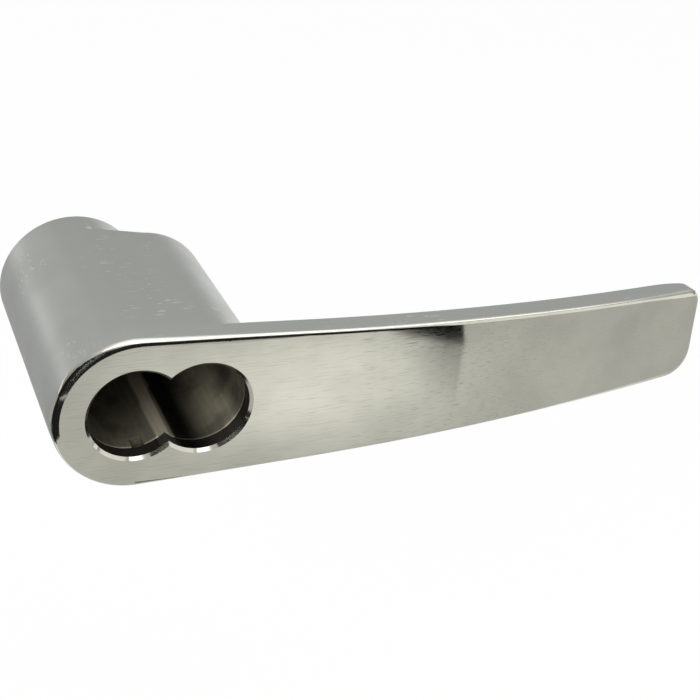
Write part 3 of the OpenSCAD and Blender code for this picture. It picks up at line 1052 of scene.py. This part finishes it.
@dataclass
class Hub:
    """The drafted two-lobe hub with its slanting shoulder, round neck and the hollows inside it."""

    front_y: float = -44.8 * MM
    pocket_y: float = -14.3 * MM
    web_y: float = -11.8 * MM
    shoulder_y: float = -9.2 * MM
    neck_root_y: float = -8.2 * MM
    neck_y: float = -3.2 * MM
    radius: float = 13.3 * MM
    neck_radius: float = 12.2 * MM
    lobe_x: float = 10.2 * MM
    lobe_radius: float = 12.6 * MM
    shoulder_radius: float = 2.0 * MM
    root_fillet: float = 1.6 * MM
    root_steps: int = 5
    root_radians: float = -0.35
    pocket_radius: float = 9.25 * MM
    socket_radius: float = 10.03 * MM
    rim_radius: float = 0.4 * MM
    rim_corner: float = 0.3
    lip_share: float = 0.5
    screw_y: float = -30.8 * MM
    screw_radius: float = 1.5 * MM
    drill_spare: float = 2 * MM
    drill_sides: int = 32
    end_steps: int = 48
    lobe_steps: int = 48
    shoulder_steps: int = 6
    sharp: float = 40.0
    core: CoreShape = field(default_factory=CoreShape)

    def draft_to(self, y: float) -> float:
        """Return how far the drafted walls have come in at a depth."""
        return (self.radius - self.neck_radius) * (y - self.front_y) / (self.neck_y - self.front_y)

    def push(
        self,
        mesh: Mesh,
        wires: Sequence[Sequence[Vert]],
        places: Sequence[Point3],
    ) -> list[list[Vert]]:
        """Extrude a closed ring of two arcs, each to its own depth and radius.

        Args:
            mesh: The mesh to change.
            wires: The vertices of the end's arc and of the lobe's arc.
            places: For each arc, its centre along X, its new depth and the scale of its radius.

        Returns:
            The new vertices of both arcs.
        """
        fresh = set(extruded(mesh, ring_edges(mesh, [*wires[0], *wires[1]]))[0])
        result = []
        for wire, (centre, depth, scale) in zip(wires, places):
            moved = twins_of(wire, fresh)
            space = Matrix.Translation((-centre, 0.0, 0.0))
            bmesh.ops.scale(mesh, vec=(scale, 1.0, scale), space=space, verts=moved)
            bmesh.ops.translate(mesh, vec=(0.0, depth - wire[0].co.y, 0.0), verts=moved)
            result.append(moved)
        return result

    def build(self) -> Piece:
        """Model the hub.

        Returns:
            The hub's object.
        """
        mesh = bmesh.new()
        lean = touching((0.0, 0.0), self.radius, (self.lobe_x, 0.0), self.lobe_radius, 1)
        end = Wire(mesh, around((0.0, 0.0), self.radius, lean), self.front_y)
        end.arc((0.0, 0.0), 360.0 - 2 * lean, self.end_steps)
        lobe = Wire(mesh, around((self.lobe_x, 0.0), self.lobe_radius, -lean), self.front_y)
        lobe.arc((self.lobe_x, 0.0), 2 * lean, self.lobe_steps)
        mesh.edges.new((end.verts[-1], lobe.verts[0]))
        mesh.edges.new((lobe.verts[-1], end.verts[0]))
        self.close_front(mesh, end, lobe)
        wires = [end.verts, lobe.verts]
        root_scale = (self.radius - self.draft_to(self.neck_root_y)) / self.radius
        wall = self.lobe_radius
        for i in range(self.shoulder_steps + 1):
            turn = math.pi / 2 * i / self.shoulder_steps
            depth = self.shoulder_y - self.shoulder_radius * (1.0 - math.sin(turn))
            target = self.lobe_radius - self.draft_to(depth) - self.shoulder_radius * (1.0 - math.cos(turn))
            end_scale = root_scale if i == 0 else 1.0
            places = [(0.0, self.neck_root_y, end_scale), (self.lobe_x, depth, target / wall)]
            wires = self.push(mesh, wires, places)
            wall = target
        self.close_neck(mesh, wires)
        hub = smoothed(mesh, "hub_skin", (SATIN_NICKEL,), self.sharp)
        self.drill(hub)
        return hub

    def close_front(self, mesh: Mesh, end: Wire, lobe: Wire) -> None:
        """Close the front round the liner's pocket, and sink the pocket to its floor.

        Args:
            mesh: The mesh to change.
            end: The front ring's arc round the axis.
            lobe: The front ring's arc round the second lobe.
        """
        half_end, half_lobe = self.end_steps // 2, self.lobe_steps // 2
        upper, lower = self.core.whole(mesh, self.pocket_radius, self.front_y)
        top = [*reversed(end.verts[: half_end + 1]), *reversed(lobe.verts[half_lobe:])]
        bottom = [*end.verts[half_end:], *lobe.verts[: half_lobe + 1]]
        mesh.faces.new([*top, *reversed(upper.verts)])
        mesh.faces.new([*bottom, *reversed(lower.verts)])
        deep, floor = extruded(mesh, upper.edges() + lower.edges())
        bmesh.ops.translate(mesh, vec=(0.0, self.pocket_y - self.front_y, 0.0), verts=deep)
        bmesh.ops.contextual_create(mesh, geom=floor)

    def close_neck(self, mesh: Mesh, wires: Sequence[Sequence[Vert]]) -> None:
        """Draw the lobe's shoulder in to the neck, run the neck back and sink its socket.

        Args:
            mesh: The mesh to change.
            wires: The rear ring's arcs round the axis and round the second lobe.
        """
        end, lobe = wires
        root = self.radius - self.draft_to(self.neck_root_y)
        chain = [end[-1], *lobe, end[0]]
        edges = [mesh.edges.get(pair) for pair in zip(chain, chain[1:])]
        twins = twins_of(chain, set(extruded(mesh, edges)[0]))
        start = math.degrees(math.atan2(end[-1].co.z, end[-1].co.x))
        for i, vert in enumerate(twins):
            x, z = around((0.0, 0.0), root, start - 2 * start * i / (len(twins) - 1))
            vert.co = (x, self.neck_root_y, z)
        bmesh.ops.weld_verts(mesh, targetmap={twins[0]: end[-1], twins[-1]: end[0]})
        self.sink(mesh, [*end, *twins[1:-1]], root)
        bmesh.ops.remove_doubles(mesh, verts=mesh.verts[:], dist=MERGE)
        bmesh.ops.recalc_face_normals(mesh, faces=mesh.faces[:])
        inner = [
            e
            for e in mesh.edges
            if all(abs(v.co.y - self.neck_root_y) < MERGE for v in e.verts)
            and e.is_manifold
            and e.calc_face_angle_signed() < self.root_radians
        ]
        round_edges(mesh, inner, self.root_fillet, self.root_steps)

    def sink(self, mesh: Mesh, ring: Sequence[Vert], root: float) -> None:
        """Run the neck to its rear end and turn it into the socket.

        Args:
            mesh: The mesh to change.
            ring: The neck's root, in order.
            root: The root's radius.
        """
        rim = self.rim_radius
        corner, lip = self.rim_corner * rim, self.lip_share * rim
        stations = [
            (self.neck_radius, self.neck_y - rim),
            (self.neck_radius - corner, self.neck_y - corner),
            (self.neck_radius - rim, self.neck_y),
            (self.socket_radius + lip, self.neck_y),
            (self.socket_radius, self.neck_y - lip),
            (self.socket_radius, self.web_y),
        ]
        edges = ring_edges(mesh, ring)
        radius, depth = root, self.neck_root_y
        for target, y in stations:
            verts, edges = extruded(mesh, edges)
            bmesh.ops.scale(mesh, vec=(target / radius, 1.0, target / radius), verts=verts)
            bmesh.ops.translate(mesh, vec=(0.0, y - depth, 0.0), verts=verts)
            radius, depth = target, y
        bmesh.ops.contextual_create(mesh, geom=edges)

    def drill(self, hub: Piece) -> None:
        """Drill the set screw's hole through the underside.

        Args:
            hub: The hub's object.
        """
        mesh = bmesh.new()
        bmesh.ops.create_cone(
            mesh,
            cap_ends=True,
            segments=self.drill_sides,
            radius1=self.screw_radius,
            radius2=self.screw_radius,
            depth=self.radius - self.pocket_radius + self.drill_spare,
            matrix=Matrix.Translation((0.0, self.screw_y, -(self.radius + self.pocket_radius) / 2)),
        )
        carve(hub, as_object(mesh, "screw_drill", (SATIN_NICKEL,)), self.sharp)


@dataclass
class Hardware:
    """CAD pieces that keep their shape, with merged, softened edges and a finish each."""

    finishes: dict[str, Finish]
    edge: float = 0.1 * MM
    edge_steps: int = 2
    edge_from: float = 35.0
    flat: float = 0.5

    def dress(self, frame: dict) -> None:
        """Copy each node with softened edges and give it its finish.

        Args:
            frame: The loaded frame.
        """
        record = frame["record"]
        bodies = {node: body for body, nodes in record["behaviour"]["bodies"].items() for node in nodes}
        for node, finish in self.finishes.items():
            piece = self.soften(frame["nodes"][node], f"{node}_skin", finish)
            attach(piece, bodies[node])
            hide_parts(node)
            LOG.info("%s stands for %s in %s", piece.name, node, finish.name)

    def soften(self, node: Piece, name: str, finish: Finish) -> Piece:
        """Make a merged copy of a node with broken edges.

        Args:
            node: The CAD node's object.
            name: The copy's name.
            finish: The copy's finish.

        Returns:
            The copy's object.
        """
        mesh = bmesh.new()
        mesh.from_mesh(node.data)
        bmesh.ops.remove_doubles(mesh, verts=mesh.verts[:], dist=CAD_MERGE)
        bmesh.ops.dissolve_limit(
            mesh, angle_limit=math.radians(self.flat), verts=mesh.verts[:], edges=mesh.edges[:]
        )
        finishes = self.choose(mesh, node.name, finish)
        piece = smoothed(mesh, name, finishes, self.edge_from)
        bevel = piece.modifiers.new("broken_edges", "BEVEL")
        bevel.width, bevel.segments = self.edge, self.edge_steps
        bevel.limit_method, bevel.angle_limit = "ANGLE", math.radians(self.edge_from)
        bevel.use_clamp_overlap = True
        piece.modifiers.move(1, 0)
        return piece

    def choose(self, mesh: Mesh, node: str, finish: Finish) -> tuple[Finish, ...]:
        """Set the faces' material slots.

        Args:
            mesh: The copy's mesh.
            node: The node's name.
            finish: The node's own finish.

        Returns:
            The finishes of the slots.
        """
        for face in mesh.faces:
            face.material_index = 0
        return (finish,)


@dataclass
class CoreHousing(Hardware):
    """The liner the core slides into, its stop plate and what holds them."""

    finishes: dict[str, Finish] = field(
        default_factory=lambda: {
            "core_liner": LINER_STEEL,
            "core_stop_plate": LINER_STEEL,
            "stop_plate_screws": BLACK_STEEL,
            "liner_set_screw": BLACK_STEEL,
            "locating_dowels": BLACK_STEEL,
        }
    )
    land_node: str = "core_liner"
    land_x: float = 5.35 * MM
    land_half: float = 1.2 * MM
    land_facing: float = 0.9

    def choose(self, mesh: Mesh, node: str, finish: Finish) -> tuple[Finish, ...]:
        """Set the faces' material slots, with the upward faces of the liner's lower land in a paler one of
        their own.

        Args:
            mesh: The copy's mesh.
            node: The node's name.
            finish: The node's own finish.

        Returns:
            The finishes of the slots.
        """
        base = super().choose(mesh, node, finish)
        if node != self.land_node:
            return base
        bmesh.ops.recalc_face_normals(mesh, faces=mesh.faces[:])
        for face in mesh.faces:
            place = face.calc_center_median()
            on_land = place.z < 0.0 and abs(place.x - self.land_x) < self.land_half
            if on_land and face.normal.z > self.land_facing:
                face.material_index = 1
        return (*base, LAND_STEEL)


@dataclass
class Drive(Hardware):
    """The tube that turns the lock and the bush, washers, pins and ring around it."""

    finishes: dict[str, Finish] = field(
        default_factory=lambda: {
            "drive_tube": ZINC_STEEL,
            "drive_pins": BLACK_STEEL,
            "turn_stop_pin": BLACK_STEEL,
            "neck_bush": ACETAL,
            "thrust_washer": ACETAL,
            "rear_washer": WASHER_BRASS,
            "retaining_ring": BLACK_STEEL,
        }
    )


@dataclass
class Throw(Hardware):
    """The keyed tailpiece on the lever's axis."""

    finishes: dict[str, Finish] = field(
        default_factory=lambda: {
            "throw_plate": ZINC_STEEL,
            "tailpiece": ZINC_STEEL,
            "tail_washer": WASHER_BRASS,
            "tail_clip": BLACK_STEEL,
        }
    )


@dataclass
class Bearing(Hardware):
    """The fixed sleeve that the neck turns on, with the return spring round it."""

    finishes: dict[str, Finish] = field(default_factory=lambda: {"bearing_sleeve": ZINC_STEEL})
    spring: str = "return_spring"

    def dress(self, frame: dict) -> None:
        """Soften the sleeve, and give the spring its finish where it stands.

        Args:
            frame: The loaded frame.
        """
        super().dress(frame)
        slots = frame["nodes"][self.spring].data.materials
        slots.clear()
        slots.append(SPRING_WIRE.material())
        LOG.info("%s takes %s", self.spring, SPRING_WIRE.name)


@dataclass(frozen=True)
class Card:
    """A flat sheet that only reflections see, with a soft side along X or a soft window in it."""

    name: str
    start: Point3
    side: Point3
    top: Point3
    shade: float
    fade: Point | None = None
    window: tuple[Point, Point] | None = None
    window_core: float = 0.1

    @classmethod
    def lying(cls, name: str, height: float, corners: Sequence[Point], shade: float, **soft: object) -> Card:
        """Lay a card flat.

        Args:
            name: The card's name.
            height: Its place along Z.
            corners: Its first corner, and the ones at the end of its side and of its other side.
            shade: Its brightness.
            **soft: Its fade or its window.

        Returns:
            The card.
        """
        return cls(name, *((x, y, height) for x, y in corners), shade, **soft)

    @classmethod
    def standing(cls, name: str, start: Point, end: Point, heights: Point, shade: float) -> Card:
        """Stand a card upright.

        Args:
            name: The card's name.
            start: Where its foot begins.
            end: Where its foot ends.
            heights: Its foot's and its top's places along Z.
            shade: Its brightness.

        Returns:
            The card.
        """
        low, high = heights
        return cls(name, (*start, low), (*end, low), (*start, high), shade)

    def cover(self, nodes: NodeTree) -> Socket:
        """Work out where the card hides what is behind it.

        Args:
            nodes: The card's nodes.

        Returns:
            The socket of its opacity.
        """
        place = nodes.add("ShaderNodeTexCoord").outputs["Object"]
        if self.window is None:
            along = nodes.add("ShaderNodeSeparateXYZ", Vector=place).outputs["X"]
            return nodes.ramp(along, *self.fade, 0.0, 1.0)
        centre, reach = self.window
        scale = (1.0 / reach[0], 1.0 / reach[1], 0.0)
        shift = (-centre[0] * scale[0], -centre[1] * scale[1], 0.0)
        offset = nodes.add("ShaderNodeMapping", Vector=place, Location=shift, Scale=scale)
        distance = nodes.tree.nodes.new("ShaderNodeVectorMath")
        distance.operation = "LENGTH"
        nodes.feed(distance.inputs[0], offset.outputs["Vector"])
        return nodes.ramp(distance.outputs["Value"], self.window_core, 1.0, 0.0, 1.0)

    def place(self) -> None:
        """Set the card up in the studio."""
        start, side, top = (Vector(corner) for corner in (self.start, self.side, self.top))
        mesh = bmesh.new()
        bmesh.ops.create_grid(mesh, x_segments=1, y_segments=1, size=0.5)
        across, up = side - start, top - start
        basis = Matrix((across, up, across.cross(up).normalized())).transposed().to_4x4()
        stretch = Matrix.Translation(start) @ basis @ Matrix.Translation((0.5, 0.5, 0.0))
        bmesh.ops.transform(mesh, matrix=stretch, verts=mesh.verts[:])
        card = as_object(mesh, self.name, ())
        material, nodes = new_material(self.name)
        surface = nodes.add("ShaderNodeEmission", Strength=self.shade)
        if self.fade is not None or self.window is not None:
            surface = nodes.layer(self.cover(nodes), nodes.add("ShaderNodeBsdfTransparent"), surface)
        nodes.add("ShaderNodeOutputMaterial", Surface=surface.outputs[0])
        card.data.materials.append(material)
        card.visible_camera = card.visible_shadow = card.visible_diffuse = False


@dataclass
class Studio:
    """The camera, the pale floor and the soft light."""

    eye: Point3 = (-65.954 * MM, -286.201 * MM, 154.986 * MM)
    azimuth: float = 22.97
    elevation: float = 29.80
    roll: float = -5.34
    lens: float = 96.27
    sensor: float = 36.0
    clip: Point = (0.01, 50.0)
    floor_z: float = -95.0 * MM
    floor_radius: float = 3.2
    floor_sides: int = 96
    floor_colour: Colour = (0.92, 0.92, 0.91)
    backdrop_height: float = 0.42
    camera_glow: float = 0.95
    mirror_glow: float = 1.0
    room_colour: Colour = (1.0, 1.0, 0.99)
    room_levels: Point = (0.29, 0.58)
    room_top: float = 0.9
    lamp_target: Point3 = (0.04, -0.03, 0.0)
    lamps: tuple[tuple[str, Point3, float, float], ...] = (
        ("top_softbox", (0.12, -0.10, 0.62), 0.70, 2.2),
        ("front_softbox", (-0.45, -0.55, 0.42), 0.40, 3.0),
    )
    card_z: float = -13.5 * MM
    card_step: float = 0.5 * MM
    card_lift: float = 0.2 * MM
    dark: float = 0.015
    grey: float = 0.59
    window: tuple[Point, Point] = ((0.036, -0.073), (0.045, 0.029))

    def camera(self) -> None:
        """Set the camera at the photo's place."""
        az, el, roll = (math.radians(a) for a in (self.azimuth, self.elevation, self.roll))
        ahead = Vector((math.sin(az) * math.cos(el), math.cos(az) * math.cos(el), -math.sin(el)))
        right = Vector((math.cos(az), -math.sin(az), 0.0))
        down = ahead.cross(right)
        right_rolled = math.cos(roll) * right + math.sin(roll) * down
        up = math.sin(roll) * right - math.cos(roll) * down
        turn = Matrix((right_rolled, up, -ahead)).transposed().to_4x4()
        data = bpy.data.cameras.new("photo_camera")
        data.lens, data.sensor_width = self.lens, self.sensor
        data.clip_start, data.clip_end = self.clip
        camera = bpy.data.objects.new("photo_camera", data)
        camera.matrix_world = Matrix.Translation(self.eye) @ turn
        bpy.context.scene.collection.objects.link(camera)
        bpy.context.scene.camera = camera

    def floor(self) -> None:
        """Lay the pale round floor, turned up at its rim as a backdrop and clear from below."""
        mesh = bmesh.new()
        bmesh.ops.create_circle(mesh, cap_ends=True, segments=self.floor_sides, radius=self.floor_radius)
        bmesh.ops.translate(mesh, verts=mesh.verts[:], vec=(0.0, 0.0, self.floor_z))
        raised, _ = extruded(mesh, mesh.edges[:])
        bmesh.ops.translate(mesh, verts=raised, vec=(0.0, 0.0, self.backdrop_height))
        bmesh.ops.recalc_face_normals(mesh, faces=mesh.faces[:])
        floor = as_object(mesh, "pale_floor", ())
        material, nodes = new_material("pale_floor")
        rays = nodes.add("ShaderNodeLightPath")
        seen = nodes.maths("MULTIPLY", rays.outputs["Is Camera Ray"], self.camera_glow)
        mirrored = nodes.maths("MULTIPLY", rays.outputs["Is Glossy Ray"], self.mirror_glow)
        through = nodes.maths("MULTIPLY", rays.outputs["Is Transmission Ray"], self.camera_glow)
        share = nodes.maths("ADD", nodes.maths("ADD", seen, mirrored), through)
        pale = nodes.add("ShaderNodeBsdfDiffuse", Color=(*self.floor_colour, 1.0))
        glow = nodes.add("ShaderNodeEmission", Color=(1.0, 1.0, 1.0, 1.0), Strength=1.0)
        inside = nodes.add("ShaderNodeNewGeometry").outputs["Backfacing"]
        below = nodes.maths("GREATER_THAN", rays.outputs["Is Camera Ray"], inside)
        clear = nodes.add("ShaderNodeBsdfTransparent")
        whole = nodes.layer(below, nodes.layer(share, pale, glow), clear)
        nodes.add("ShaderNodeOutputMaterial", Surface=whole.outputs["Shader"])
        floor.data.materials.append(material)

    def world(self) -> None:
        """Light the room evenly, a little paler above."""
        world = bpy.data.worlds.new("soft_room")
        world.use_nodes = True
        nodes = NodeTree(world.node_tree)
        way = nodes.add("ShaderNodeTexCoord").outputs["Generated"]
        height = nodes.add("ShaderNodeSeparateXYZ", Vector=way).outputs["Z"]
        level = nodes.ramp(height, 0.0, self.room_top, *self.room_levels)
        shade = nodes.add("ShaderNodeBackground", Color=(*self.room_colour, 1.0), Strength=level)
        nodes.add("ShaderNodeOutputWorld", Surface=shade.outputs["Background"])
        bpy.context.scene.world = world

    def lamp(self, name: str, place: Point3, size: float, watts: float) -> None:
        """Hang a square soft lamp that looks at the lever's middle.

        Args:
            name: The lamp's name.
            place: Where it hangs.
            size: The side of the square.
            watts: Its power.
        """
        data = bpy.data.lights.new(name, "AREA")
        data.size, data.energy = size, watts
        lamp = bpy.data.objects.new(name, data)
        aim = (Vector(self.lamp_target) - Vector(place)).to_track_quat("-Z", "Y")
        lamp.matrix_world = Matrix.Translation(place) @ aim.to_matrix().to_4x4()
        bpy.context.scene.collection.objects.link(lamp)

    def cards(self) -> None:
        """Stand cards round the camera's side and lay others under the lever, for reflections alone."""
        low, lift = self.card_z, self.card_lift
        near, upper = low + self.card_step, low + 2 * self.card_step
        over, above = near + lift, upper + lift
        dark, grey = self.dark, self.grey
        for card in (
            Card.standing("front_dark_card", (-0.12, -0.22), (0.157, -0.22), (low, 0.17), dark),
            Card.standing("front_pale_card", (0.16, -0.22), (0.7, -0.22), (low, 0.3), 1.0),
            Card.standing("left_dark_card", (-0.42, 0.05), (-0.06, -0.274), (low, 0.28), dark),
            Card.lying(
                "floor_grey_card",
                near,
                ((-0.035, -0.115), (0.4, -0.115), (-0.035, -0.046)),
                grey,
                window=self.window,
            ),
            Card.standing("back_pale_card", (-0.6, 0.45), (-0.06, 0.45), (0.08, 0.5), 0.55),
            Card.lying("floor_far_card", near, ((-0.2, -0.145), (0.114, -0.145), (-0.217, -0.115)), grey),
            Card.lying("floor_dark_card", near, ((-0.2, -0.22), (0.157, -0.22), (-0.243, -0.145)), dark),
            Card.lying("floor_left_card", over, ((-0.42, -0.115), (-0.0115, -0.115), (-0.43, -0.05)), dark),
            Card.lying(
                "floor_right_card",
                over,
                ((0.07, -0.13), (0.4, -0.13), (0.07, -0.03)),
                0.54,
                fade=(0.075, 0.12),
            ),
            Card.lying("floor_side_card", over, ((-0.42, -0.05), (-0.02, -0.05), (-0.42, -0.038)), dark),
            Card.lying("floor_back_card", over, ((-0.42, -0.038), (-0.0115, -0.038), (-0.42, 0.3)), 0.46),
            Card.lying(
                "under_dark_card",
                upper,
                ((0.0, -0.0495), (0.12, -0.0425), (0.0, -0.03)),
                0.2,
                fade=(0.06, 0.025),
            ),
            Card.lying(
                "small_dark_card",
                above,
                ((0.097, -0.1545), (0.1125, -0.143), (0.058, -0.086)),
                0.0,
                fade=(0.059, 0.065),
            ),
            Card.lying(
                "smear_card",
                upper,
                ((0.056, -0.0775), (0.0755, -0.0775), (0.038, -0.0525)),
                0.4,
                fade=(0.057, 0.073),
            ),
        ):
            card.place()

    def build(self) -> None:
        """Set up the whole studio."""
        self.camera()
        self.floor()
        self.world()
        for lamp in self.lamps:
            self.lamp(*lamp)
        self.cards()
        bpy.context.scene.view_settings.view_transform = "Standard"


def main() -> None:
    """Load the frame, build the looks around it and log which piece stands for which node."""
    logging.basicConfig(level=logging.INFO, format="%(name)s: %(message)s")
    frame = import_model()
    Studio().build()
    for piece, node, slot in (
        (Blade().build(), "lever_blade", "satin_nickel_brushed"),
        (Hub().build(), "hub_body", "satin_nickel"),
    ):
        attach(piece, "lever")
        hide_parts(node)
        LOG.info("%s stands for %s", piece.name, node)
    for group in (CoreHousing(), Drive(), Bearing(), Throw()):
        group.dress(frame)


if __name__ == "__main__":
    main()
